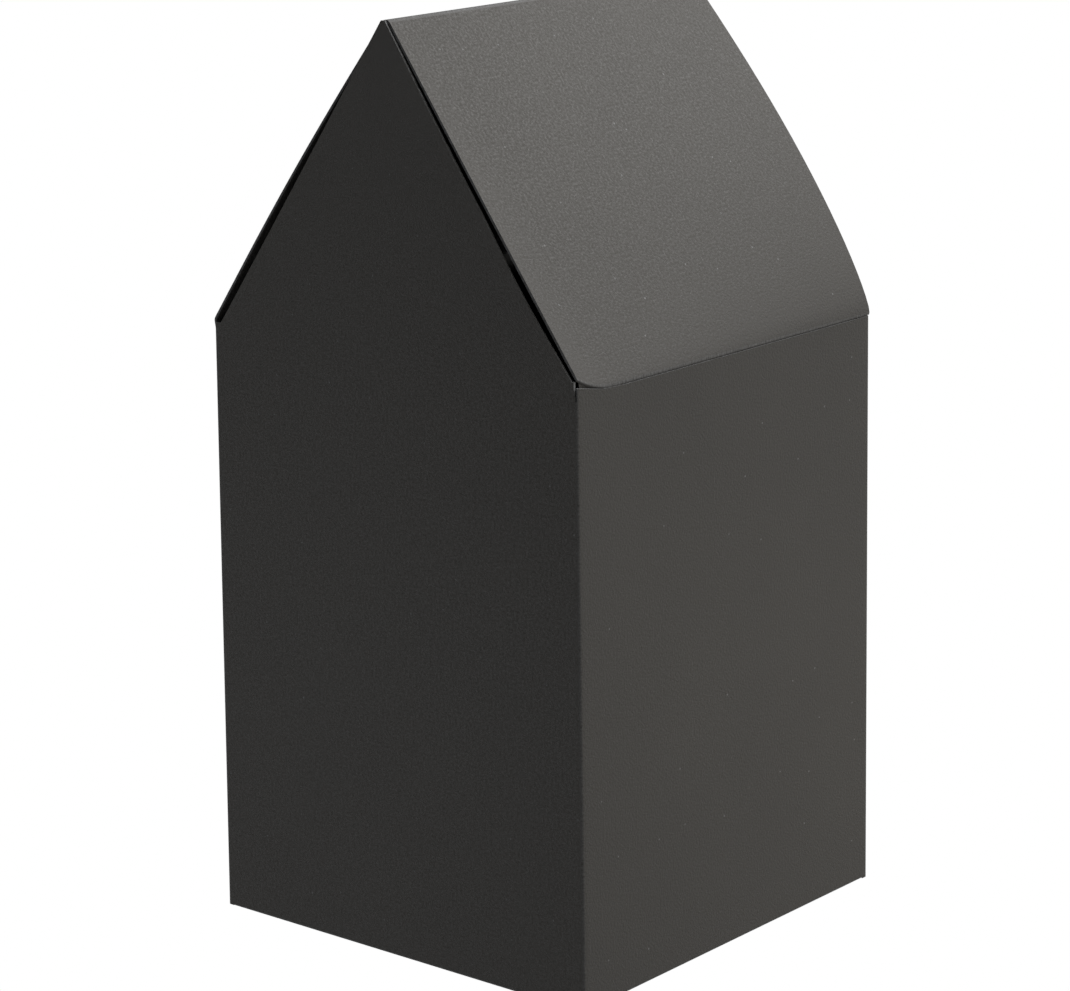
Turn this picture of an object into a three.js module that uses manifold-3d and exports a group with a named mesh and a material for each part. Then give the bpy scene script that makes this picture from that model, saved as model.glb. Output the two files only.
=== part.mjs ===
// A house-shaped carton, folded from one die-cut sheet of black card. Millimetres, +Z up.
// The origin is at the middle of the footprint, on the floor. The front wall faces -Y.
// The left roof panel is creased to the left wall, the right roof panel is the lid, creased along
// the ridge, and its tuck flap goes down inside the right wall. The bottom is a tuck end: a panel
// creased to the front wall, with a tuck flap that goes up inside the back wall.

import * as THREE from 'three';
import { LoftGeometry } from 'three/addons/geometries/LoftGeometry.js';
import { mergeGeometries, mergeVertices } from 'three/addons/utils/BufferGeometryUtils.js';
import Module from 'manifold-3d';

// The box
const baseWidth = 80;
const baseDepth = 80;
const eaveHeight = 104;
const ridgeHeight = 157.3;
const ridgeShift = 0.5;

// How much narrower and shallower the box is at the eaves than at the floor
const narrowing = 1.8;
const shallowing = 0.5;

// The card and its folds
const card = 0.4;
const uprightFold = 0.9;
const ridgeFold = 0.9;
const eaveFold = 0.9;
const bottomFold = 0.8;
const clearance = 0.3;

// The gables: their slanted edges lie under the roof. The edge under the lid is cut a little hollow
// and starts from a narrow shoulder above the side wall. The other one starts at the eave's crease.
const sideWallTop = 101.7;
const shoulderHeight = 104;
const shoulderInset = 1.3;
const creaseInset = 1.7;
const gableShift = 0.1;
const gableTopHalf = 0.9;
const gableDropAtRidge = 1;
const gableHollow = 0.9;
const hollowPlace = 0.7;

// The side wall's cut top rises towards the front gable
const frontRise = 1.4;
const frontRiseLength = 8;

// The left eave's crease stands out past the wall
const creaseBulge = 0.45;

// The lid: straight at the front and bowed outwards towards the back
const lidBow = 3;
const lidCreaseFront = 104.4;
const lidCreaseBack = 103.3;
const lidCreaseInset = 0.45;
const lidSections = 9;
const bowSteps = 12;
const roofSideInset = 0.1;

// The tuck flaps of the lid and of the bottom
const lidTuck = 14;
const bottomTuck = 14;
const tuckSideInset = 0.7;
const tuckTaper = 2;
const tuckCornerRadius = 6;

// The dust flaps above the bottom panel
const dustFlapLength = 26;
const dustFlapTaper = 4;
const dustCornerRadius = 5;
const dustFrontInset = 1.2;
const dustBackInset = 3;

// The glued side seam, at the left wall's back edge
const glueFlap = 12;
const glueEndTaper = 4;
const glueEndInset = 5;
const seamSlit = 0.2;
const seamDepth = 0.3;
const glueLayer = 0.02;

const arcSteps = 6;
const cardColour = 0x333331;

// Every cut runs out this far, well past the box
const cutReach = 300;

const halfWidth = baseWidth / 2;
const halfDepth = baseDepth / 2;

// The ridge turns through two bends, this far either side of its middle
const ridgeBend = ridgeFold * Math.tan(Math.PI / 8);

// The folds at the floor start this far above their panel
const foldRise = 2 * bottomFold;

const wasm = await Module();
wasm.setup();

// A closed three.js geometry as a solid that can be cut and joined
function solidOf(geometry) {
  const bare = geometry.index ? geometry.toNonIndexed() : geometry.clone();
  bare.deleteAttribute('normal');
  bare.deleteAttribute('uv');
  const merged = mergeVertices(bare, 1e-4);
  return new wasm.Manifold(new wasm.Mesh({
    numProp: 3,
    vertProperties: merged.attributes.position.array,
    triVerts: Uint32Array.from(merged.index.array),
  }));
}

function geometryOf(solid) {
  const mesh = solid.getMesh();
  const geometry = new THREE.BufferGeometry();
  geometry.setAttribute('position', new THREE.BufferAttribute(mesh.vertProperties, 3));
  geometry.setIndex(new THREE.BufferAttribute(mesh.triVerts, 1));
  leanIn(geometry.attributes.position);
  geometry.computeVertexNormals();
  return geometry;
}

// Everything is built on plumb walls. The finished box leans in a little from the floor upwards.
function leanIn(position) {
  for (let i = 0; i < position.count; i += 1) {
    const rise = position.getZ(i) / eaveHeight;
    position.setX(i, position.getX(i) * (1 - rise * narrowing / baseWidth));
    position.setY(i, position.getY(i) * (1 - rise * shallowing / baseDepth));
  }
}

function joined(solids) {
  return solids.reduce((whole, next) => whole.add(next));
}

function block(lowX, highX, lowY, highY, lowZ, highZ) {
  const box = new THREE.BoxGeometry(highX - lowX, highY - lowY, highZ - lowZ);
  box.translate((lowX + highX) / 2, (lowY + highY) / 2, (lowZ + highZ) / 2);
  return solidOf(box);
}

// The middle line of a card strip: straight runs between the given corners, with an arc of the
// given radius at each fold. Every point carries the normal of the strip, to its left.
function foldedLine(corners, radii) {
  const line = [];
  const last = corners.length - 1;
  for (let i = 0; i <= last; i += 1) {
    const arrive = corners[i].clone().sub(corners[Math.max(i - 1, 0)]).normalize();
    const leave = corners[Math.min(i + 1, last)].clone().sub(corners[i]).normalize();
    const into = i === 0 ? leave : arrive;
    const normal = new THREE.Vector2(-into.y, into.x);
    const radius = radii[i] ?? 0;
    if (i === 0 || i === last || radius === 0) {
      line.push({ point: corners[i].clone(), normal });
      continue;
    }
    const turn = Math.atan2(arrive.cross(leave), arrive.dot(leave));
    const reach = radius * Math.tan(Math.abs(turn) / 2);
    const start = corners[i].clone().addScaledVector(arrive, -reach);
    const centre = start.clone().addScaledVector(normal, Math.sign(turn) * radius);
    for (let step = 0; step <= arcSteps; step += 1) {
      const angle = turn * step / arcSteps;
      const point = start.clone().rotateAround(centre, angle);
      const pointNormal = normal.clone().rotateAround(new THREE.Vector2(), angle);
      line.push({ point, normal: pointNormal });
    }
  }
  return line;
}

// A card strip lofted through its profiles. Each profile is a middle line, and toSpace puts one of
// its points at the profile's place. The two cut ends are narrow lofts between the card's faces.
function cardLoft(places, profileAt, toSpace) {
  const faces = places.map((place) => [-1, 1].map((side) => (
    profileAt(place).map(({ point, normal }) => (
      toSpace(point.clone().addScaledVector(normal, side * card / 2), place))))));
  const skin = new LoftGeometry(faces.map(([lower, upper]) => [...lower, ...upper.slice().reverse()]));
  const [firstLower, firstUpper] = faces[0];
  const [lastLower, lastUpper] = faces[faces.length - 1];
  const startCut = new LoftGeometry([firstUpper, firstLower], { closed: false });
  const endCut = new LoftGeometry([lastLower, lastUpper], { closed: false });
  return solidOf(mergeGeometries([skin, startCut, endCut]));
}

// A folded strip with its profile in the XZ plane, lofted from back to front
function stripAlongY(backToFront, profileAt) {
  return cardLoft(backToFront, profileAt, (p, y) => new THREE.Vector3(p.x, y, p.y));
}

// A folded strip with its profile in the YZ plane, straight from left to right
function stripAlongX(lowX, highX, line) {
  return cardLoft([lowX, highX], () => line, (p, x) => new THREE.Vector3(x, p.x, p.y));
}

// A flat outline with its listed corners rounded
function roundedOutline(corners) {
  const shape = new THREE.Shape();
  corners.forEach(({ x, y, radius = 0 }, i) => {
    const before = corners[(i + corners.length - 1) % corners.length];
    const after = corners[(i + 1) % corners.length];
    const corner = new THREE.Vector2(x, y);
    const back = new THREE.Vector2(before.x, before.y).sub(corner).setLength(radius);
    const on = new THREE.Vector2(after.x, after.y).sub(corner).setLength(radius);
    const start = corner.clone().add(back);
    const end = corner.clone().add(on);
    if (i === 0) {
      shape.moveTo(start.x, start.y);
    } else {
      shape.lineTo(start.x, start.y);
    }
    if (radius > 0) {
      shape.quadraticCurveTo(corner.x, corner.y, end.x, end.y);
    }
  });
  shape.closePath();
  return shape;
}

// A cutting prism: an outline in XY, run along Z
function prismAlongZ(shape, lowZ, highZ) {
  const prism = new THREE.ExtrudeGeometry(shape, {
    depth: highZ - lowZ, bevelEnabled: false, curveSegments: arcSteps,
  });
  return solidOf(prism.translate(0, 0, lowZ));
}

// A cutting prism: an outline in XZ, run along Y from front to back
function prismAlongY(shape, lowY, highY) {
  const prism = new THREE.ExtrudeGeometry(shape, {
    depth: highY - lowY, bevelEnabled: false, curveSegments: arcSteps,
  });
  prism.rotateX(Math.PI / 2);
  return solidOf(prism.translate(0, highY, 0));
}

// A cutting prism: an outline in YZ, run along X
function prismAlongX(shape, lowX, highX) {
  const prism = new THREE.ExtrudeGeometry(shape, {
    depth: highX - lowX, bevelEnabled: false, curveSegments: arcSteps,
  });
  prism.rotateX(Math.PI / 2);
  prism.rotateZ(Math.PI / 2);
  return solidOf(prism.translate(lowX, 0, 0));
}

// The walls: a square tube with rounded upright folds
function tubeOutline(halfX, halfY, radius) {
  const outline = new THREE.Path();
  outline.moveTo(halfX, radius - halfY);
  outline.lineTo(halfX, halfY - radius);
  outline.absarc(halfX - radius, halfY - radius, radius, 0, Math.PI / 2);
  outline.absarc(radius - halfX, halfY - radius, radius, Math.PI / 2, Math.PI);
  outline.absarc(radius - halfX, radius - halfY, radius, Math.PI, Math.PI * 1.5);
  outline.absarc(halfX - radius, radius - halfY, radius, Math.PI * 1.5, Math.PI * 2);
  return outline;
}

function wallTube() {
  const ring = new THREE.Shape(tubeOutline(halfWidth, halfDepth, uprightFold).getPoints(arcSteps));
  ring.holes.push(tubeOutline(halfWidth - card, halfDepth - card, uprightFold - card));
  const tube = new THREE.ExtrudeGeometry(ring, {
    depth: ridgeHeight, bevelEnabled: false, curveSegments: arcSteps,
  });
  return solidOf(tube);
}

// What the die leaves of the tube: the side walls end in a cut edge below the eaves, and the
// front and back walls run on into the gables
function gableOutline() {
  const shoulder = halfWidth - shoulderInset;
  const apexZ = ridgeHeight - card - gableDropAtRidge;
  const run = new THREE.Vector2(gableShift + gableTopHalf - shoulder, apexZ - shoulderHeight);
  const inward = new THREE.Vector2(-run.y, run.x).normalize().multiplyScalar(gableHollow);
  const hollow = new THREE.Vector2(
    shoulder + run.x * (1 - hollowPlace) + inward.x,
    shoulderHeight + run.y * (1 - hollowPlace) + inward.y,
  );
  return new THREE.Shape([
    new THREE.Vector2(cutReach, -cutReach),
    new THREE.Vector2(cutReach, sideWallTop),
    new THREE.Vector2(shoulder, sideWallTop),
    new THREE.Vector2(shoulder, shoulderHeight),
    hollow,
    new THREE.Vector2(gableShift + gableTopHalf, apexZ),
    new THREE.Vector2(gableShift - gableTopHalf, apexZ),
    new THREE.Vector2(creaseInset - halfWidth, shoulderHeight),
    new THREE.Vector2(-cutReach, shoulderHeight),
    new THREE.Vector2(-cutReach, -cutReach),
  ]);
}

// The wedge that the lid's side wall gains at its front end
function frontRiseOfWall() {
  const front = uprightFold - halfDepth;
  const wedge = new THREE.Shape([
    new THREE.Vector2(front, sideWallTop - frontRise),
    new THREE.Vector2(front + frontRiseLength, sideWallTop - frontRise),
    new THREE.Vector2(front + frontRiseLength, sideWallTop),
    new THREE.Vector2(front, sideWallTop + frontRise),
  ]);
  return prismAlongX(wedge, halfWidth - card, halfWidth);
}

// The roof's profile, from the left wall over the crease and the ridge to the lid's tuck flap
function leftRoofLine() {
  const crease = eaveHeight + card;
  const wall = card / 2 - halfWidth;
  return foldedLine([
    new THREE.Vector2(wall, sideWallTop - card),
    new THREE.Vector2(wall, sideWallTop + card),
    new THREE.Vector2(wall - creaseBulge, crease),
    new THREE.Vector2(ridgeShift - ridgeBend, ridgeHeight - card / 2),
    new THREE.Vector2(ridgeShift + ridgeFold, ridgeHeight - card / 2),
  ], [0, 0, eaveFold, ridgeFold, 0]);
}

// How far back a place lies: 0 at the front edge of the roof and 1 at the back edge
const roofHalfDepth = halfDepth - roofSideInset;
const backShare = (y) => (y + roofHalfDepth) / (2 * roofHalfDepth);

function lidLine(y) {
  const share = backShare(y);
  const top = new THREE.Vector2(ridgeShift + ridgeBend, ridgeHeight - card / 2);
  const creaseZ = THREE.MathUtils.lerp(lidCreaseFront, lidCreaseBack, share);
  const crease = new THREE.Vector2(halfWidth - card / 2 - lidCreaseInset, creaseZ);
  const flapX = halfWidth - card - clearance - card / 2;
  const tipZ = lidCreaseFront - lidTuck;
  const chord = crease.clone().sub(top);
  const outward = new THREE.Vector2(-chord.y, chord.x).normalize();
  const bow = lidBow * share;
  const corners = [new THREE.Vector2(ridgeShift - ridgeFold, ridgeHeight - card / 2), top];
  const radii = [0, ridgeFold];
  for (let step = 1; step < bowSteps; step += 1) {
    const along = step / bowSteps;
    const lift = 4 * bow * along * (1 - along);
    corners.push(top.clone().addScaledVector(chord, along).addScaledVector(outward, lift));
    radii.push(0);
  }
  corners.push(crease, new THREE.Vector2(flapX, sideWallTop), new THREE.Vector2(flapX, tipZ));
  radii.push(eaveFold, 0, 0);
  return foldedLine(corners, radii);
}

// The tuck flap's outline, seen along the flap: straight sides, a slight taper, round corners
function tuckOutline(halfSpan, rootHalf, rootLevel, tipLevel) {
  const beyond = rootLevel + Math.sign(rootLevel - tipLevel) * cutReach;
  const flapHalf = rootHalf - tuckTaper;
  const corners = [
    { x: -halfSpan, y: beyond },
    { x: -halfSpan, y: rootLevel },
    { x: -rootHalf, y: rootLevel },
    { x: -flapHalf, y: tipLevel, radius: tuckCornerRadius },
    { x: flapHalf, y: tipLevel, radius: tuckCornerRadius },
    { x: rootHalf, y: rootLevel },
    { x: halfSpan, y: rootLevel },
    { x: halfSpan, y: beyond },
  ];
  return roundedOutline(beyond > tipLevel ? corners : corners.reverse());
}

function roofLid() {
  const places = [];
  for (let i = 0; i < lidSections; i += 1) {
    places.push(THREE.MathUtils.lerp(roofHalfDepth, -roofHalfDepth, i / (lidSections - 1)));
  }
  const sheet = stripAlongY(places, lidLine);
  const rootHalf = halfDepth - card - tuckSideInset;
  const rootLevel = sideWallTop + clearance;
  const outline = tuckOutline(cutReach, rootHalf, rootLevel, lidCreaseFront - lidTuck);
  const cutter = prismAlongX(outline, -cutReach, cutReach);
  const ridgeGap = ridgeShift + clearance / 2;
  const right = block(ridgeGap, cutReach, -cutReach, cutReach, -cutReach, cutReach);
  return sheet.intersect(cutter).intersect(right);
}

function leftRoof() {
  const sheet = stripAlongY([roofHalfDepth, -roofHalfDepth], leftRoofLine);
  const ridgeGap = ridgeShift - clearance / 2;
  const left = block(-cutReach, ridgeGap, -cutReach, cutReach, -cutReach, cutReach);
  return sheet.intersect(left);
}

// The bottom fold of the front wall, and the bottom panel with its tuck flap, in one line
const bottomHinge = new THREE.Vector2(-1, -1).setLength(bottomFold + card / 2).add(
  new THREE.Vector2(bottomFold + card / 2 - halfDepth, bottomFold + card / 2));

function bottomLine() {
  const backFace = halfDepth - card - clearance;
  const reach = halfDepth - card - clearance / 2 - bottomHinge.x;
  const tipZ = bottomTuck;
  const tipY = bottomHinge.x + Math.sqrt(reach ** 2 - (tipZ - bottomHinge.y) ** 2);
  return foldedLine([
    new THREE.Vector2(card / 2 - halfDepth, card / 2 + foldRise),
    new THREE.Vector2(card / 2 - halfDepth, card / 2),
    new THREE.Vector2(backFace - card / 2, card / 2),
    new THREE.Vector2(tipY - card / 2, tipZ),
  ], [0, bottomFold, bottomFold, 0]);
}

// The plane between the front wall and the bottom panel halves their fold; each side of it is
// half the clearance away
function foldCutter(side) {
  const wedge = new THREE.BoxGeometry(cutReach, cutReach, cutReach);
  wedge.translate(0, 0, side * (cutReach + clearance) / 2);
  wedge.rotateX(Math.PI / 4);
  return solidOf(wedge.translate(0, bottomHinge.x, bottomHinge.y));
}

const bottomHalfWidth = halfWidth - card - clearance;

function bottomFlap() {
  const sheet = stripAlongX(-bottomHalfWidth, bottomHalfWidth, bottomLine());
  const rootHalf = bottomHalfWidth - tuckSideInset;
  const outline = tuckOutline(cutReach, rootHalf, card, bottomTuck - clearance);
  const cutter = prismAlongY(outline, -cutReach, cutReach);
  return sheet.intersect(cutter).intersect(foldCutter(-1));
}

function frontFold() {
  const half = halfWidth - uprightFold;
  const sheet = stripAlongX(-half, half, bottomLine());
  const front = block(-cutReach, cutReach, -cutReach, 0, -cutReach, cutReach);
  return sheet.intersect(front).intersect(foldCutter(1));
}

// The dust flaps, folded in from the side walls above the bottom panel. Their folds end in front
// of the bottom panel's tuck flap.
const dustLevel = card + clearance;
const dustFoldFront = uprightFold - halfDepth;
const dustFoldBack = halfDepth - card - bottomFold - card / 2 - 2 * clearance;

function dustFlap(side) {
  const level = dustLevel + card / 2;
  const line = () => foldedLine([
    new THREE.Vector2(-side * (halfWidth - card / 2), level + foldRise),
    new THREE.Vector2(-side * (halfWidth - card / 2), level),
    new THREE.Vector2(-side * (halfWidth - dustFlapLength), level),
  ], [0, bottomFold, 0]);
  const sheet = stripAlongY([dustFoldBack, dustFoldFront], line);
  const tip = halfWidth - dustFlapLength;
  const root = halfWidth - foldRise;
  const outline = roundedOutline([
    { x: -side * cutReach, y: -cutReach },
    { x: -side * root, y: -cutReach },
    { x: -side * root, y: dustFoldFront + dustFrontInset },
    { x: -side * tip, y: dustFoldFront + dustFrontInset + dustFlapTaper, radius: dustCornerRadius },
    { x: -side * tip, y: dustFoldBack - dustBackInset - dustFlapTaper, radius: dustCornerRadius },
    { x: -side * root, y: dustFoldBack - dustBackInset },
    { x: -side * root, y: cutReach },
    { x: -side * cutReach, y: cutReach },
  ]);
  return sheet.intersect(prismAlongZ(outline, -cutReach, cutReach));
}

// The glued seam: the back wall's flap lies inside the left wall, whose raw edge shows beside the
// back corner
function glueFlapInside() {
  const lowZ = glueEndInset;
  const highZ = sideWallTop - glueEndInset;
  const root = halfDepth - card / 2;
  const tip = root - glueFlap;
  const outline = roundedOutline([
    { x: root, y: lowZ },
    { x: root, y: highZ },
    { x: tip, y: highZ - glueEndTaper },
    { x: tip, y: lowZ + glueEndTaper },
  ]);
  const outerFace = card - glueLayer - halfWidth;
  return prismAlongX(outline, outerFace, outerFace + card);
}

function seamCut() {
  const edge = halfDepth - uprightFold;
  const lowZ = glueEndInset + glueEndTaper;
  const highZ = sideWallTop - glueEndInset - glueEndTaper;
  return block(-cutReach, seamDepth - halfWidth, edge - seamSlit, edge, lowZ, highZ);
}

function cartonBody() {
  const sideCutLevel = dustLevel + card / 2 + bottomFold;
  const foldLevel = card / 2 + bottomFold;
  const die = prismAlongY(gableOutline(), -cutReach, cutReach);
  const sideways = block(-cutReach, cutReach, dustFoldFront, dustFoldBack, -cutReach, sideCutLevel);
  const frontCut = block(-cutReach, cutReach, -cutReach, 0, -cutReach, foldLevel);
  const roofRoot = block(-cutReach, 2 * card - halfWidth, dustFoldFront, -dustFoldFront,
    sideWallTop, cutReach);
  const walls = wallTube().intersect(die).subtract(sideways).subtract(frontCut).subtract(seamCut())
    .subtract(roofRoot);
  return joined([
    walls, frontRiseOfWall(), leftRoof(), frontFold(), dustFlap(1), dustFlap(-1),
    glueFlapInside(),
  ]);
}

function cardMaterial() {
  return new THREE.MeshStandardMaterial({ color: cardColour, roughness: 0.9, metalness: 0 });
}

function piece(name, solid) {
  const mesh = new THREE.Mesh(geometryOf(solid), cardMaterial());
  mesh.name = name;
  return mesh;
}

const carton = new THREE.Group();
carton.add(piece('carton_body', cartonBody()));
carton.add(piece('roof_lid', roofLid()));
carton.add(piece('bottom_flap', bottomFlap()));

export default carton;
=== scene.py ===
"""A house-shaped gift box, folded from one die-cut sheet of uncoated black card."""

import math

import bmesh
import bpy
from bpy.props import FloatProperty, FloatVectorProperty, PointerProperty
from mathutils import Matrix, Vector


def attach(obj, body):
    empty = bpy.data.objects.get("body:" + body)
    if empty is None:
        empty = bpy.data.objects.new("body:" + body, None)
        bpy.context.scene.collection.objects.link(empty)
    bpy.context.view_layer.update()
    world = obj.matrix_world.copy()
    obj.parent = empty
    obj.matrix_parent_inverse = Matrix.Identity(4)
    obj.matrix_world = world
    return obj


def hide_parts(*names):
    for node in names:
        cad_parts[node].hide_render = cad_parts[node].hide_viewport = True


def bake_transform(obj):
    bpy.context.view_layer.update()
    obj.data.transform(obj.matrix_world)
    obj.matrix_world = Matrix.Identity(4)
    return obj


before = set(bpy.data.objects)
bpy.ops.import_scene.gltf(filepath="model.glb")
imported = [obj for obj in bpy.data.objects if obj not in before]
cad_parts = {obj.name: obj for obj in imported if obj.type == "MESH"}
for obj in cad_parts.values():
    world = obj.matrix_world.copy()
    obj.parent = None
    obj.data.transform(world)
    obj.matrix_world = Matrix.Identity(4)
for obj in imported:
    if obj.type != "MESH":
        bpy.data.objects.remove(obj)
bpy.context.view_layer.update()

bl_info = {
    "name": "House box",
    "version": (1, 0, 0),
    "blender": (4, 5, 0),
    "location": "3D View > Sidebar > House box",
    "description": "A folded card box with a pitched roof, dressed over its solids",
    "category": "Mesh",
}

MM = 0.001
# A hair's breadth: a tolerance, and what keeps two rows of points or two faces apart
HAIR = 0.02 * MM
ARC_STEPS = 8
SHARP_ANGLE = math.radians(50)
CARTON = "carton"


def linear(hex_colour):
    """An sRGB hex colour as linear red, green and blue."""
    parts = [int(hex_colour[i : i + 2], 16) / 255 for i in (1, 3, 5)]
    return [p / 12.92 if p <= 0.04045 else ((p + 0.055) / 1.055) ** 2.4 for p in parts]


def length(name, description, millimetres):
    return FloatProperty(
        name=name, description=description, default=millimetres * MM, unit="LENGTH"
    )


def colour(name, description, hex_colour):
    return FloatVectorProperty(
        name=name, description=description, subtype="COLOR", default=linear(hex_colour)
    )


class HouseBoxSizes(bpy.types.PropertyGroup):
    """Sizes of the folded box."""

    width: length("Width", "Footprint across the front wall", 80)
    depth: length("Depth", "Footprint from front to back", 80)
    eave_height: length("Eave height", "Floor to the gables' shoulders", 104)
    ridge_height: length("Ridge height", "Floor to the top of the ridge", 157.3)
    ridge_shift: length("Ridge shift", "The ridge lies this far towards the lid", 0.5)
    narrowing: length("Narrowing", "Loss of width from floor to eaves", 1.8)
    shallowing: length("Shallowing", "Loss of depth from floor to eaves", 0.5)
    card: length("Card", "Thickness of the card", 0.4)
    fold: length("Fold", "Middle radius of the folds", 0.8)
    side_wall_top: length("Side wall top", "Floor to the cut top of the side wall", 101.7)
    lid_bow: length("Lid bow", "How far the lid bows out at its back edge", 3.0)
    tuck: length("Tuck", "Length of the tuck flaps", 14)


class HouseBoxColours(bpy.types.PropertyGroup):
    """Colours of the card and of the floor."""

    card: colour("Card", "Face of the black card", "#2E2D2C")
    fibre: colour("Fibre", "Lighter fibres in the card's face", "#42413F")
    # The cut edges are paler partly for their torn fibres and partly as a painted highlight: the
    # colour is lifted to stand in for the light that catches the thin edges
    cut_edge: colour("Cut edge", "Core of the card at its cut edges", "#85878A")
    floor: colour("Floor", "Pale studio floor", "#BCBCBA")


def sizes():
    return bpy.context.scene.house_box_sizes


def colours():
    return bpy.context.scene.house_box_colours


def folded_line(corners):
    """Points along a card's middle line. Each corner is a point, its fold's radius and the steps
    to the next one. Each point comes with how far the card is creased there, from 0 to 1."""
    folds = []
    for i, (corner, radius, _) in enumerate(corners):
        if radius == 0:
            folds.append([(corner, 0.0)])
            continue
        arrive = (corner - corners[i - 1][0]).normalized()
        leave = (corners[i + 1][0] - corner).normalized()
        turn = math.atan2(arrive.cross(leave), arrive.dot(leave))
        start = corner - arrive * radius * math.tan(abs(turn) / 2)
        centre = start + Vector((-arrive.y, arrive.x)) * math.copysign(radius, turn)
        shares = [step / ARC_STEPS for step in range(ARC_STEPS + 1)]
        folds.append([(centre + Matrix.Rotation(turn * share, 2) @ (start - centre),
                       math.sin(math.pi * share)) for share in shares])
    line = list(folds[0])
    for (_, _, steps), fold, after in zip(corners, folds, folds[1:]):
        here, there = fold[-1][0], after[0][0]
        line += [(here.lerp(there, step / steps), 0.0) for step in range(1, steps)]
        line += after
    return line


def run_along(line):
    """The length of a middle line up to each of its points: its place on the flat sheet."""
    run = [0.0]
    for (before, _), (point, _) in zip(line, line[1:]):
        run.append(run[-1] + (point - before).length)
    return run


def lean_in(point):
    """The walls lean in a little from the floor upwards."""
    s = sizes()
    rise = point.z / s.eave_height
    return Vector(
        (
            point.x * (1 - rise * s.narrowing / s.width),
            point.y * (1 - rise * s.shallowing / s.depth),
            point.z,
        )
    )


def card_sheet(name, columns, rows, place, keep=None):
    """A sheet of card: a flat grid whose points are put where the folded card has them.

    place(column, row) gives the point, the crease there and the flat place in metres, and
    keep(column, row) says which cells the die leaves."""
    bm = bmesh.new()
    bmesh.ops.create_grid(bm, x_segments=columns - 1, y_segments=rows - 1, size=1)
    flat = bm.loops.layers.uv.new("flat")
    crease = bm.verts.layers.float.new("crease")
    cell = {}
    for vert in bm.verts:
        column = round((vert.co.x + 1) / 2 * (columns - 1))
        row = round((vert.co.y + 1) / 2 * (rows - 1))
        cell[vert] = (column, row)
    if keep:
        dropped = []
        for face in bm.faces:
            corner = [cell[v] for v in face.verts]
            if not keep(min(c for c, _ in corner), min(r for _, r in corner)):
                dropped.append(face)
        bmesh.ops.delete(bm, geom=dropped, context="FACES")
    flat_place = {}
    for vert in bm.verts:
        point, worn, on_sheet = place(*cell[vert])
        vert.co = lean_in(point)
        vert[crease] = worn
        flat_place[vert] = on_sheet
    for face in bm.faces:
        for loop in face.loops:
            loop[flat].uv = flat_place[loop.vert]
        face.smooth = True
    mesh = bpy.data.meshes.new(name)
    bm.to_mesh(mesh)
    bm.free()
    sheet = bpy.data.objects.new(name, mesh)
    bpy.context.collection.objects.link(sheet)
    mesh.materials.append(black_card())
    mesh.materials.append(cut_edge())
    thickness = sheet.modifiers.new("Card", "SOLIDIFY")
    thickness.thickness = sizes().card
    thickness.offset = 0
    thickness.use_quality_normals = True
    thickness.material_offset_rim = 1
    solid = bpy.data.meshes.new_from_object(
        sheet.evaluated_get(bpy.context.evaluated_depsgraph_get())
    )
    sheet.modifiers.clear()
    sheet.data = solid
    solid.name = name
    bpy.data.meshes.remove(mesh)
    solid.set_sharp_from_angle(angle=SHARP_ANGLE)
    return sheet


def node(tree, kind, settings=None, inputs=None):
    """Adds a node with its settings, and its inputs as values or links."""
    made = tree.nodes.new(kind)
    for key, value in (settings or {}).items():
        setattr(made, key, value)
    for key, value in (inputs or {}).items():
        if isinstance(value, bpy.types.NodeSocket):
            tree.links.new(value, made.inputs[key])
        else:
            made.inputs[key].default_value = value
    return made


def new_material(name):
    material = bpy.data.materials.new(name)
    material.use_nodes = True
    material.node_tree.nodes.clear()
    return material, material.node_tree


def rgba(rgb):
    return (*rgb, 1.0)


# The board's pattern in real sizes. Single wood fibres are far too fine to show in the render, so
# they are drawn as the tufts that they lie in, as coarse as it takes to show
FIBRE_TUFT = 0.45 * MM
GRAIN_STRETCH = 0.15
CLUMP = 0.45 * MM
CLUMP_SHARE = 0.78
CLOUD = 22 * MM
CLOUD_DEPTH = 0.25
SPECK_CELL = 9 * MM
SPECK_SHARE = 0.4
SPECK_CORE = 0.012
SPECK_RIM = 0.022
WEAR_DEPTH = 0.5
RELIEF = 0.07 * MM
TORN_FIBRE = 0.6 * MM
TORN_RELIEF = 0.05 * MM


def per_metre(size):
    """A pattern's scale: how many features of a size lie along a metre of the card."""
    return 1 / size


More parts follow.
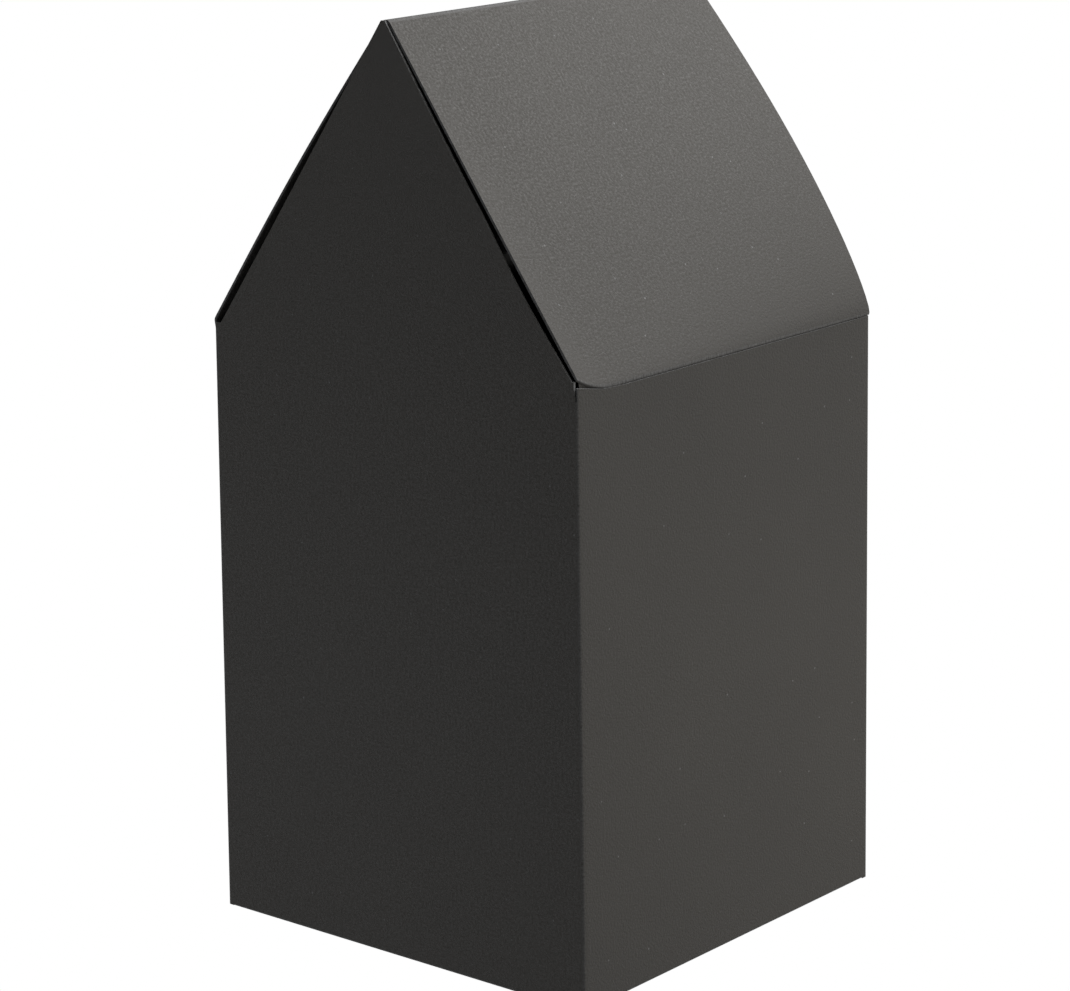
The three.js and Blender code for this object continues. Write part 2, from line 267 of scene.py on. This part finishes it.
def black_card():
    """Uncoated black solid board, dyed in the pulp and calendered: a dull, nearly black face with
    cloudy fibre clumps, short fibres along the grain and a few pale specks. It is a little paler
    where it is creased."""
    name = "uncoated_black_board"
    if name in bpy.data.materials:
        return bpy.data.materials[name]
    material, tree = new_material(name)
    palette = colours()
    flat = node(tree, "ShaderNodeUVMap", {"uv_map": "flat"})
    grain = node(tree, "ShaderNodeMapping", None,
                 {"Vector": flat.outputs["UV"], "Scale": (1.0, GRAIN_STRETCH, 1.0)})
    fibres = node(tree, "ShaderNodeTexNoise", {"noise_dimensions": "2D"},
                  {"Vector": grain.outputs["Vector"], "Scale": per_metre(FIBRE_TUFT),
                   "Detail": 3.0, "Roughness": 0.6})
    clumps = node(tree, "ShaderNodeTexNoise", {"noise_dimensions": "2D"},
                  {"Vector": flat.outputs["UV"], "Scale": per_metre(CLUMP),
                   "Detail": 3.0, "Roughness": 0.6})
    cloud = node(tree, "ShaderNodeTexNoise", {"noise_dimensions": "2D"},
                 {"Vector": flat.outputs["UV"], "Scale": per_metre(CLOUD), "Detail": 2.0})
    specks = node(tree, "ShaderNodeTexVoronoi", {"voronoi_dimensions": "2D"},
                  {"Vector": flat.outputs["UV"], "Scale": per_metre(SPECK_CELL)})
    near = node(tree, "ShaderNodeMapRange", {"interpolation_type": "SMOOTHSTEP"},
                {"Value": specks.outputs["Distance"], "From Min": SPECK_CORE,
                 "From Max": SPECK_RIM, "To Min": 1.0, "To Max": 0.0})
    rare = node(tree, "ShaderNodeMath", {"operation": "GREATER_THAN"},
                {0: specks.outputs["Color"], 1: 1 - SPECK_SHARE})
    speck_mask = node(tree, "ShaderNodeMath", {"operation": "MULTIPLY"},
                      {0: near.outputs["Result"], 1: rare.outputs["Value"]})
    mottle = node(tree, "ShaderNodeMix", {"data_type": "FLOAT"},
                  {"Factor": CLUMP_SHARE, "A": fibres.outputs["Fac"], "B": clumps.outputs["Fac"]})
    spread = node(tree, "ShaderNodeMapRange", None,
                  {"Value": mottle.outputs["Result"], "From Min": 0.32, "From Max": 0.68})
    toned = node(tree, "ShaderNodeMath", {"operation": "MULTIPLY_ADD"},
                 {0: cloud.outputs["Fac"], 1: CLOUD_DEPTH, 2: -CLOUD_DEPTH / 2})
    tone = node(tree, "ShaderNodeMath", {"operation": "ADD", "use_clamp": True},
                {0: spread.outputs["Result"], 1: toned.outputs["Value"]})
    face = node(tree, "ShaderNodeMix", {"data_type": "RGBA"},
                {"Factor": tone.outputs["Value"], "A": rgba(palette.card),
                 "B": rgba(palette.fibre)})
    worn = node(tree, "ShaderNodeAttribute", {"attribute_name": "crease"})
    wear = node(tree, "ShaderNodeMath", {"operation": "MULTIPLY"},
                {0: worn.outputs["Fac"], 1: spread.outputs["Result"]})
    paler = node(tree, "ShaderNodeMath", {"operation": "MAXIMUM"},
                 {0: wear.outputs["Value"], 1: speck_mask.outputs["Value"]})
    pale = node(tree, "ShaderNodeMath", {"operation": "MULTIPLY"},
                {0: paler.outputs["Value"], 1: WEAR_DEPTH})
    coloured = node(tree, "ShaderNodeMix", {"data_type": "RGBA"},
                    {"Factor": pale.outputs["Value"], "A": face.outputs["Result"],
                     "B": rgba(palette.cut_edge)})
    dull = node(tree, "ShaderNodeMapRange", None,
                {"Value": spread.outputs["Result"], "To Min": 0.50, "To Max": 0.80})
    relief = node(tree, "ShaderNodeBump", None,
                  {"Height": clumps.outputs["Fac"], "Strength": 1.0, "Distance": RELIEF})
    shader = node(tree, "ShaderNodeBsdfPrincipled", None,
                  {"Base Color": coloured.outputs["Result"], "Roughness": dull.outputs["Result"],
                   "Normal": relief.outputs["Normal"], "Specular IOR Level": 0.24, "IOR": 1.5})
    node(tree, "ShaderNodeOutputMaterial", None, {"Surface": shader.outputs["BSDF"]})
    return material


def cut_edge():
    """The cut edge of the same board: the die leaves torn fibre ends, rougher than the face, with
    thin layers that run along the edge. Its paleness is partly these torn fibres and partly a
    painted highlight for the light that catches the thin edges."""
    name = "die_cut_board_edge"
    if name in bpy.data.materials:
        return bpy.data.materials[name]
    material, tree = new_material(name)
    palette = colours()
    where = node(tree, "ShaderNodeTexCoord")
    fuzz = node(tree, "ShaderNodeTexNoise", None,
                {"Vector": where.outputs["Object"], "Scale": per_metre(TORN_FIBRE),
                 "Detail": 4.0})
    tone = node(tree, "ShaderNodeMapRange", None,
                {"Value": fuzz.outputs["Fac"], "From Min": 0.3, "From Max": 0.7,
                 "To Min": 0.25, "To Max": 1.0})
    edge = node(tree, "ShaderNodeMix", {"data_type": "RGBA"},
                {"Factor": tone.outputs["Result"], "A": rgba(palette.fibre),
                 "B": rgba(palette.cut_edge)})
    relief = node(tree, "ShaderNodeBump", None,
                  {"Height": fuzz.outputs["Fac"], "Strength": 0.6, "Distance": TORN_RELIEF})
    shader = node(tree, "ShaderNodeBsdfPrincipled", None,
                  {"Base Color": edge.outputs["Result"], "Roughness": 0.95,
                   "Normal": relief.outputs["Normal"], "Specular IOR Level": 0.2, "IOR": 1.5})
    node(tree, "ShaderNodeOutputMaterial", None, {"Surface": shader.outputs["BSDF"]})
    return material


# The die-cut outline of the walls. A panel is flat up to PANEL_EDGE from its corner. The front
# gable's right edge is hollow, most of all low down. At the front right corner a short slit parts
# the gable from the side wall, whose top rises a little there. The back gable's left edge runs up
# against the left roof panel. The feet of the corners and the back wall stay just off the floor
PANEL_EDGE = 1.3 * MM
SHOULDER_INSET = 0.6 * MM
SHOULDER_STEP = 0.5 * MM
CREASE_INSET = 1.5 * MM
BACK_CREASE_INSET = -0.1 * MM
UPRIGHT_FOLD = 0.3 * MM
GABLE_TOP_SHIFT = 0.2 * MM
GABLE_TOP_HALF = 0.42 * MM
GABLE_TOP_DROP = 0.12 * MM
BACK_TOP_SHIFT = 0.1 * MM
BACK_TOP_DROP = 1.2 * MM
LONG_HOLLOW = 0.6 * MM
LOW_HOLLOW = 0.55 * MM
LOW_HOLLOW_END = 0.46
LOW_HOLLOW_ROUNDING = 1.5
SLIT = 0.8 * MM
FRONT_RISE = 1.4 * MM
FRONT_RISE_LENGTH = 8 * MM
GLUE_FLAP = 12 * MM
GLUE_INSET = 5 * MM
GLUE_TAPER = 4 * MM
GLUE_ROOT = 0.1
GLUE_SLOPE = 4
SEAM = 0.7 * MM
FLOOR_FOLD = 0.25 * MM
CORNER_FOOT = 0.12 * MM
PANEL_STEPS = 14
WALL_STEPS = 26
GABLE_STEPS = 40


def wall_plan():
    """The walls' middle line in plan: from the left wall's raw back edge round the front to the
    back wall and its glue flap, which lies inside the left wall."""
    s = sizes()
    x = (s.width - s.card) / 2
    y = (s.depth - s.card) / 2
    inset = PANEL_EDGE - s.card / 2
    turns = [Vector((-x, y - SEAM)), Vector((-x, -y)), Vector((x, -y)), Vector((x, y)),
             Vector((s.card - x, y)), Vector((s.card - x, y - GLUE_FLAP))]
    corners = [(turns[0], 0, PANEL_STEPS)]
    for before, turn, after in zip(turns, turns[1:], turns[2:]):
        corners.append((turn + (before - turn).normalized() * inset, 0, 1))
        corners.append((turn, UPRIGHT_FOLD, 1))
        corners.append((turn + (after - turn).normalized() * inset, 0, PANEL_STEPS))
    corners.append((turns[-1], 0, 1))
    return folded_line(corners)


def gable_edges(z, front):
    """Where a gable's two cut edges are at a height. At the front the card curls back a little
    under the lid, so that its edge looks hollow, most of all low down."""
    s = sizes()
    share = min(max((z - s.eave_height) / (gable_top(front) - s.eave_height), 0), 1)
    low = min(share / LOW_HOLLOW_END, 1)
    hollow = LONG_HOLLOW * math.sin(math.pi * share)
    hollow += LOW_HOLLOW * max(math.sin(math.pi * low), 0) ** LOW_HOLLOW_ROUNDING
    shift = GABLE_TOP_SHIFT if front else BACK_TOP_SHIFT
    right = s.width / 2 - SHOULDER_INSET - SHOULDER_STEP
    right += (shift + GABLE_TOP_HALF - right) * share - (hollow if front else 0)
    left = (CREASE_INSET if front else BACK_CREASE_INSET) - s.width / 2
    left += (shift - GABLE_TOP_HALF - left) * share
    return left, right


def gable_top(front):
    """The height of a gable's tip, just under the ridge."""
    return sizes().ridge_height - (GABLE_TOP_DROP if front else BACK_TOP_DROP)


def make_walls():
    """The four walls, the gables and the glue flap. The grid's columns run round the plan and its
    rows go up the levels. Above the eaves a level is a share of the gable's height."""
    s = sizes()
    plan = wall_plan()
    fold_low = s.card / 2 + 2 * FLOOR_FOLD
    levels = [CORNER_FOOT, fold_low]
    levels += [fold_low + (s.side_wall_top - SLIT - fold_low) * i / WALL_STEPS
               for i in range(1, WALL_STEPS + 1)]
    levels += [s.side_wall_top]
    wall_row = len(levels) - 1
    levels += [s.side_wall_top + HAIR, s.eave_height, s.eave_height + HAIR]
    gable_row = len(levels) - 1
    levels += [i / GABLE_STEPS for i in range(1, GABLE_STEPS + 1)]
    run = run_along(plan)
    panel_edge = s.width / 2 - PANEL_EDGE
    shoulder = s.width / 2 - SHOULDER_INSET
    flap_root = len(plan) - PANEL_STEPS - 1

    def on_gable(column):
        point = plan[column][0]
        return abs(point.x) <= panel_edge + HAIR and abs(point.y) > s.depth / 2 - s.card

    def on_left_corner(column):
        point = plan[column][0]
        return point.x < HAIR - panel_edge and point.y < s.card - s.depth / 2 + UPRIGHT_FOLD

    def place(column, row):
        point, worn = plan[column]
        x, z = point.x, levels[row]
        if row > wall_row and on_gable(column):
            front = point.y < 0
            if row > gable_row:
                z = s.eave_height + (gable_top(front) - s.eave_height) * z
            left, right = gable_edges(z, front)
            if row < gable_row:
                left, right = -panel_edge if front else s.card - s.width / 2, shoulder
            x = left + (x + panel_edge) / (2 * panel_edge) * (right - left)
        if column >= flap_root:
            out = (column - flap_root) / PANEL_STEPS
            inset = GLUE_INSET * min(GLUE_ROOT + out * GLUE_SLOPE, 1) + GLUE_TAPER * out
            wall = s.side_wall_top - fold_low
            z = fold_low + inset + (wall - 2 * inset) * (z - fold_low) / wall
        elif row == wall_row and x > s.width / 2 - s.card:
            z += FRONT_RISE * max(0, 1 - (point.y + s.depth / 2) / FRONT_RISE_LENGTH)
        return Vector((x, point.y, z)), worn, (run[column], z)

    def keep(column, row):
        if row >= wall_row:
            if row < gable_row - 1 and on_left_corner(column) and on_left_corner(column + 1):
                return True
            return on_gable(column) and on_gable(column + 1)
        middle = (plan[column][0] + plan[column + 1][0]) / 2
        if row == wall_row - 1:
            creased = plan[column][1] + plan[column + 1][1] > 0
            in_slit = creased and panel_edge < middle.x < -middle.y
            return not in_slit
        # Only the corners and the back wall have a foot: the other walls fold into the bottom
        corner = abs(middle.x) > panel_edge and abs(middle.y) > s.depth / 2 - PANEL_EDGE
        on_back = middle.y > s.depth / 2 - s.card
        return row > 0 or corner or on_back

    walls = card_sheet("card_walls", len(plan), len(levels), place, keep)
    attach(walls, CARTON)
    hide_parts("carton_body")
    return walls


# The roof sheet: left roof panel, ridge, lid and tuck flap in one. The left panel bows out at the
# front and the lid at the back. A place in a profile is across and up
EAVE_FOLD = 0.9 * MM
RIDGE_FOLD = 0.9 * MM
RIDGE_FLAT = 0.02 * MM
CREASE_BULGE = 0.45 * MM
LEFT_BOW = 0.8 * MM
LID_CREASE_FRONT = Vector((39.45, 104.45)) * MM
LID_CREASE_BACK = Vector((39.92, 102.12)) * MM
LID_ENTRY_FRONT = Vector((39.3, 102.0)) * MM
LID_ENTRY_BACK = Vector((39.1, 101.2)) * MM
LID_CREASE_FALL = 0.11
LID_FOLD = 0.5 * MM
BOW_RISE = 1.05
BOW_FALL = 0.72
BOW_PEAK = 0.3025
ROOF_FRONT_INSET = 0.45 * MM
ROOF_BACK_INSET = 0.1 * MM
TUCK_SIDE_INSET = 0.7 * MM
TUCK_TAPER = 2 * MM
TUCK_CORNER = 6 * MM
ROOF_STEPS = 20
ROOF_ROWS = 49
ROW_CROWDING = 1.5
STEP_CROWDING = 1.4
TUCK_STEPS = 24


def roof_profile(share):
    """The roof's middle line at one place from front (0) to back (1)."""
    s = sizes()
    wall = (s.card - s.width) / 2
    crease = Vector((wall - CREASE_BULGE, s.eave_height + s.card))
    ridge_z = s.ridge_height - s.card / 2
    slope = math.atan2(ridge_z - crease.y, s.width / 2)
    off = RIDGE_FOLD * math.tan(slope / 2) + RIDGE_FLAT
    left_top = Vector((s.ridge_shift - off, ridge_z))
    right_top = Vector((s.ridge_shift + off, ridge_z))
    settled = min(share / LID_CREASE_FALL, 1)
    settled = settled * (2 - settled)
    lid_crease = LID_CREASE_FRONT.lerp(LID_CREASE_BACK, settled)
    enter = LID_ENTRY_FRONT.lerp(LID_ENTRY_BACK, settled)
    tip = Vector((LID_ENTRY_BACK.x, LID_CREASE_FRONT.y - s.tuck))
    chord = lid_crease - right_top
    outward = Vector((-chord.y, chord.x)).normalized()
    lid = []
    for step in range(1, ROOF_STEPS):
        along = 1 - (1 - step / ROOF_STEPS) ** STEP_CROWDING
        lift = s.lid_bow * share * along**BOW_RISE * (1 - along) ** BOW_FALL / BOW_PEAK
        lid.append(right_top + chord * along + outward * lift)
    rise = left_top - crease
    aside = Vector((-rise.y, rise.x)).normalized()
    bow = LEFT_BOW * (1 - share)
    left = []
    for step in range(1, ROOF_STEPS):
        along = step / ROOF_STEPS
        left.append(crease + rise * along + aside * bow * math.sin(math.pi * along))
    return folded_line([
        (Vector((wall, s.side_wall_top)), 0, 1),
        (Vector((wall, s.side_wall_top + s.card)), 0, 2),
        (crease, EAVE_FOLD, 1),
        *[(point, 0, 1) for point in left],
        (left_top, RIDGE_FOLD, 1),
        (right_top, RIDGE_FOLD, 1),
        *[(point, 0, 1) for point in lid],
        (lid_crease, LID_FOLD, 1),
        (enter, 0, TUCK_STEPS),
        (tip, 0, 1),
    ])


def tuck_half(root_half, from_tip, whole):
    """Half the width of a tuck flap at a distance from its tip: tapered, with round corners."""
    half = root_half - TUCK_TAPER * (1 - min(from_tip / whole, 1))
    if from_tip < TUCK_CORNER:
        half -= TUCK_CORNER - math.sqrt(TUCK_CORNER**2 - (TUCK_CORNER - from_tip) ** 2)
    return half


def make_roof():
    """The roof sheet, which bends at the ridge between the fixed panel and the lid."""
    s = sizes()
    shares = [(row / (ROOF_ROWS - 1)) ** ROW_CROWDING for row in range(ROOF_ROWS)]
    profiles = [roof_profile(share) for share in shares]
    columns = len(profiles[0])
    run = run_along(profiles[0])
    flap_start = columns - TUCK_STEPS - 2
    roof_front = ROOF_FRONT_INSET - s.depth / 2
    roof_back = s.depth / 2 - ROOF_BACK_INSET
    root_half = s.depth / 2 - s.card - TUCK_SIDE_INSET
    flap = run[-1] - run[flap_start]

    def place(column, row):
        point, worn = profiles[row][column]
        y = roof_front + (roof_back - roof_front) * shares[row]
        if column >= flap_start:
            y = tuck_half(root_half, run[-1] - run[column], flap) * (2 * shares[row] - 1)
        return Vector((point.x, y, point.y)), worn, (y, s.side_wall_top + run[column])

    roof = card_sheet("card_roof", columns, ROOF_ROWS, place)
    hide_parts("roof_lid")
    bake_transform(roof)
    return roof


# The bottom: the front wall's fold, the bottom panel and its tuck flap in one, and the dust flaps
BOTTOM_GAP = 0.3 * MM
PANEL_INSET = 1.55 * MM
TUCK_FOLD = 0.8 * MM
DUST_RUN = 2 * MM
BOTTOM_ROWS = 25
BOTTOM_STEPS = 16
DUST_LENGTH = 26 * MM
DUST_TAPER = 4 * MM
DUST_CORNER = 5 * MM
DUST_FRONT_INSET = 1.2 * MM
DUST_BACK_INSET = 3 * MM
DUST_ROWS = 21
DUST_STEPS = 18


def bottom_hinge():
    """The line that the bottom panel turns about, at its fold to the front wall."""
    s = sizes()
    outer = s.fold + s.card / 2
    off = outer * (1 - math.sqrt(0.5))
    return Vector((0, off - s.depth / 2, off))


def make_bottom():
    """The bottom panel with its tuck flap, which bends at its fold to the front wall."""
    s = sizes()
    front = (s.card - s.depth) / 2
    low = s.card / 2
    back = s.depth / 2 - s.card - BOTTOM_GAP - s.card / 2
    hinge = bottom_hinge()
    reach = s.depth / 2 - s.card - BOTTOM_GAP / 2 - hinge.y
    tip_y = hinge.y + math.sqrt(reach**2 - (s.tuck - hinge.z) ** 2) - s.card / 2
    line = folded_line([
        (Vector((front, low + 2 * FLOOR_FOLD)), 0, 1),
        (Vector((front, low)), FLOOR_FOLD, BOTTOM_STEPS),
        (Vector((back, low)), TUCK_FOLD, TUCK_STEPS),
        (Vector((tip_y, s.tuck - BOTTOM_GAP)), 0, 1),
    ])
    run = run_along(line)
    panel_half = s.width / 2 - PANEL_INSET
    fold_half = s.width / 2 - PANEL_EDGE
    flap_start = next(i for i, (p, _) in enumerate(line) if p.x > 0 and p.y > s.card)
    flap = run[-1] - run[flap_start]

    def place(column, row):
        point, worn = line[column]
        half = fold_half if column <= ARC_STEPS + 1 else panel_half
        if column >= flap_start:
            half = tuck_half(panel_half - TUCK_SIDE_INSET, run[-1] - run[column], flap)
        x = half * (1 - 2 * row / (BOTTOM_ROWS - 1))
        return Vector((x, point.x, point.y)), worn, (x, run[column])

    bottom = card_sheet("card_bottom", len(line), BOTTOM_ROWS, place)
    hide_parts("bottom_flap")
    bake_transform(bottom)
    return bottom


def make_dust_flap(name, side):
    """A dust flap: its fold comes down to the floor beside the bottom panel's edge, and from
    there the flap rises onto the panel."""
    s = sizes()
    low = s.card / 2 + HAIR
    level = s.card * 1.5 + BOTTOM_GAP
    wall = (s.width - s.card) / 2
    fold_end = s.depth / 2 - PANEL_EDGE
    fold_front = UPRIGHT_FOLD + s.card / 2 - s.depth / 2
    fold_back = s.depth / 2 - s.card - TUCK_FOLD - s.card / 2 - 2 * BOTTOM_GAP
    line = folded_line([
        (Vector((wall, s.card / 2 + 2 * FLOOR_FOLD)), 0, 1),
        (Vector((wall, low)), FLOOR_FOLD, 1),
        (Vector((wall - DUST_RUN, level)), 0, DUST_STEPS),
        (Vector((s.width / 2 - DUST_LENGTH, level)), 0, 1),
    ])
    run = run_along(line)
    flap_start = len(line) - DUST_STEPS - 1
    flap = run[-1] - run[flap_start]

    def place(column, row):
        point, worn = line[column]
        front, back = -fold_end, fold_end
        if column >= flap_start:
            from_tip = run[-1] - run[column]
            taper = DUST_TAPER * (1 - from_tip / flap)
            round_off = 0
            if from_tip < DUST_CORNER:
                round_off = DUST_CORNER - math.sqrt(
                    DUST_CORNER**2 - (DUST_CORNER - from_tip) ** 2)
            front = fold_front + DUST_FRONT_INSET + taper + round_off
            back = fold_back - DUST_BACK_INSET - taper - round_off
        across = row / (DUST_ROWS - 1)
        y = front + (back - front) * (across if side > 0 else 1 - across)
        return Vector((side * point.x, y, point.y)), worn, (y, run[column])

    flap_piece = card_sheet(name, len(line), DUST_ROWS, place)
    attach(flap_piece, CARTON)
    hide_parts("carton_body")
    return flap_piece


# The camera, from the perspective of the box in the photograph
LENS = 120.85
VIEW_AZIMUTH = math.radians(39.76)
VIEW_ELEVATION = math.radians(14.36)
VIEW_ROLL = math.radians(-0.59)
VIEW_DISTANCE = 616.1 * MM
AIM_RIGHT = -1.98 * MM
AIM_HEIGHT = 71.95 * MM


def make_camera():
    """The camera at the photograph's viewing angle, with its slight roll."""
    az, el = VIEW_AZIMUTH, VIEW_ELEVATION
    back = Vector((math.sin(az) * math.cos(el), -math.cos(az) * math.cos(el), math.sin(el)))
    right = Vector((math.cos(az), math.sin(az), 0))
    up = back.cross(right)
    turned_right = right * math.cos(VIEW_ROLL) + up * math.sin(VIEW_ROLL)
    turned_up = up * math.cos(VIEW_ROLL) - right * math.sin(VIEW_ROLL)
    place = right * AIM_RIGHT + Vector((0, 0, AIM_HEIGHT)) + back * VIEW_DISTANCE
    data = bpy.data.cameras.new("Camera")
    data.lens = LENS
    camera = bpy.data.objects.new("Camera", data)
    camera.matrix_world = Matrix.Translation(place) @ Matrix(
        (turned_right, turned_up, back)).transposed().to_4x4()
    bpy.context.collection.objects.link(camera)
    bpy.context.scene.camera = camera


# The floor is open under the box, well inside its footprint, so that its underside can be seen
FLOOR_SPAN = 4.0
FLOOR_MARGIN = 2.5 * MM
FLOOR_LIFT = 0.9
WORLD_LIGHT = 0.08
WHITE = (1.0, 1.0, 1.0)
WARM = (1.0, 0.9, 0.74)
CREAM = (1.0, 0.98, 0.95)


def seen_straight(tree):
    """1 where the camera, a gloss or a clear piece looks straight at the surroundings."""
    ray = node(tree, "ShaderNodeLightPath")
    seen = node(tree, "ShaderNodeMath", {"operation": "MAXIMUM"},
                {0: ray.outputs["Is Camera Ray"], 1: ray.outputs["Is Glossy Ray"]})
    seen = node(tree, "ShaderNodeMath", {"operation": "MAXIMUM"},
                {0: seen.outputs["Value"], 1: ray.outputs["Is Transmission Ray"]})
    return seen.outputs["Value"]


def pale_floor():
    """Matt white studio paper, lifted to white where it is seen, so that only the shadow shows."""
    material, tree = new_material("white_studio_paper")
    matt = node(tree, "ShaderNodeBsdfDiffuse", None, {"Color": rgba(colours().floor)})
    seen = seen_straight(tree)
    lift = node(tree, "ShaderNodeMath", {"operation": "MULTIPLY"}, {0: seen, 1: FLOOR_LIFT})
    glow = node(tree, "ShaderNodeEmission", None,
                {"Color": rgba(WHITE), "Strength": lift.outputs["Value"]})
    both = node(tree, "ShaderNodeAddShader", None, {0: matt.outputs["BSDF"], 1: glow.outputs[0]})
    node(tree, "ShaderNodeOutputMaterial", None, {"Surface": both.outputs["Shader"]})
    return material


def make_floor():
    """A wide floor with a square window under the box."""
    bm = bmesh.new()
    bmesh.ops.create_grid(bm, x_segments=1, y_segments=1, size=FLOOR_SPAN / 2)
    window = FLOOR_SPAN / 2 - sizes().width / 2 + FLOOR_MARGIN
    bmesh.ops.inset_region(bm, faces=bm.faces[:], thickness=window)
    under_box = min(bm.faces, key=lambda face: face.calc_area())
    bmesh.ops.delete(bm, geom=[under_box], context="FACES")
    mesh = bpy.data.meshes.new("floor")
    bm.to_mesh(mesh)
    bm.free()
    floor = bpy.data.objects.new("floor", mesh)
    bpy.context.collection.objects.link(floor)
    mesh.materials.append(pale_floor())


def make_surroundings():
    """A world that gives the box a faint even light and that shows as white."""
    world = bpy.data.worlds.new("studio")
    bpy.context.scene.world = world
    world.use_nodes = True
    tree = world.node_tree
    tree.nodes.clear()
    seen = seen_straight(tree)
    strength = node(tree, "ShaderNodeMapRange", None,
                    {"Value": seen, "To Min": WORLD_LIGHT, "To Max": 1.0})
    sky = node(tree, "ShaderNodeBackground", None,
               {"Color": rgba(WHITE), "Strength": strength.outputs["Result"]})
    node(tree, "ShaderNodeOutputWorld", None, {"Surface": sky.outputs["Background"]})


def make_softbox(name, place, aim, across, watts, tint):
    """A soft lamp that no view shows, aimed at a point, with its two sides in metres."""
    data = bpy.data.lights.new(name, "AREA")
    data.color = tint
    data.shape = "RECTANGLE"
    data.size, data.size_y = across
    data.energy = watts
    lamp = bpy.data.objects.new(name, data)
    lamp.visible_camera = False
    lamp.location = place
    lamp.rotation_euler = (Vector(aim) - Vector(place)).to_track_quat("-Z", "Y").to_euler()
    bpy.context.collection.objects.link(lamp)


def make_lights():
    """The back lamp gives the roof its sheen, and the others lift the walls and the cut edges."""
    eaves = (0, 0, sizes().eave_height)
    right_foot = (0.04, 0.03, 0.02)
    front_foot = (-0.035, -0.04, 0.03)
    make_softbox("back_softbox", (0.24, 0.32, 0.58), eaves, (0.42, 0.42), 6.4, CREAM)
    make_softbox("right_softbox", (0.14, 0.08, 0.02), right_foot, (0.06, 0.06), 0.027, WARM)
    make_softbox("side_softbox", (1.0, -0.35, 0.1), eaves, (0.4, 0.4), 0.75, WARM)
    make_softbox("front_fill", (-0.045, -0.17, 0.03), front_foot, (0.14, 0.05), 0.022, WHITE)
    bpy.context.scene.view_settings.view_transform = "Standard"


class HOUSEBOX_OT_walls(bpy.types.Operator):
    """Fold the four walls with their gables and glue flap"""

    bl_idname = "house_box.walls"
    bl_label = "Walls and gables"

    def execute(self, context):
        make_walls()
        return {"FINISHED"}


class HOUSEBOX_OT_roof(bpy.types.Operator):
    """Fold the roof sheet, with the lid and its tuck flap"""

    bl_idname = "house_box.roof"
    bl_label = "Roof and lid"

    def execute(self, context):
        make_roof()
        return {"FINISHED"}


class HOUSEBOX_OT_bottom(bpy.types.Operator):
    """Fold the bottom panel with its tuck flap, and the dust flaps"""

    bl_idname = "house_box.bottom"
    bl_label = "Bottom and dust flaps"

    def execute(self, context):
        make_bottom()
        make_dust_flap("card_dust_flap_right", 1)
        make_dust_flap("card_dust_flap_left", -1)
        return {"FINISHED"}


class HOUSEBOX_OT_stage(bpy.types.Operator):
    """Set up the pale floor, the soft lights and the camera"""

    bl_idname = "house_box.stage"
    bl_label = "Stage, lights and camera"

    def execute(self, context):
        make_camera()
        make_floor()
        make_surroundings()
        make_lights()
        return {"FINISHED"}


OPERATORS = (HOUSEBOX_OT_walls, HOUSEBOX_OT_roof, HOUSEBOX_OT_bottom, HOUSEBOX_OT_stage)


class HOUSEBOX_PT_panel(bpy.types.Panel):
    """Lists the box's sizes, colours and pieces"""

    bl_idname = "HOUSEBOX_PT_panel"
    bl_label = "House box"
    bl_space_type = "VIEW_3D"
    bl_region_type = "UI"
    bl_category = "House box"

    def draw(self, context):
        for group in (sizes(), colours()):
            for name in group.__annotations__:
                self.layout.prop(group, name)
        for operator in OPERATORS:
            self.layout.operator(operator.bl_idname)


CLASSES = (HouseBoxSizes, HouseBoxColours, *OPERATORS, HOUSEBOX_PT_panel)


def register():
    for cls in CLASSES:
        bpy.utils.register_class(cls)
    bpy.types.Scene.house_box_sizes = PointerProperty(type=HouseBoxSizes)
    bpy.types.Scene.house_box_colours = PointerProperty(type=HouseBoxColours)


def unregister():
    del bpy.types.Scene.house_box_colours
    del bpy.types.Scene.house_box_sizes
    for cls in reversed(CLASSES):
        bpy.utils.unregister_class(cls)


def main():
    register()
    bpy.ops.house_box.walls()
    bpy.ops.house_box.roof()
    bpy.ops.house_box.bottom()
    bpy.ops.house_box.stage()


if __name__ == "__main__":
    main()
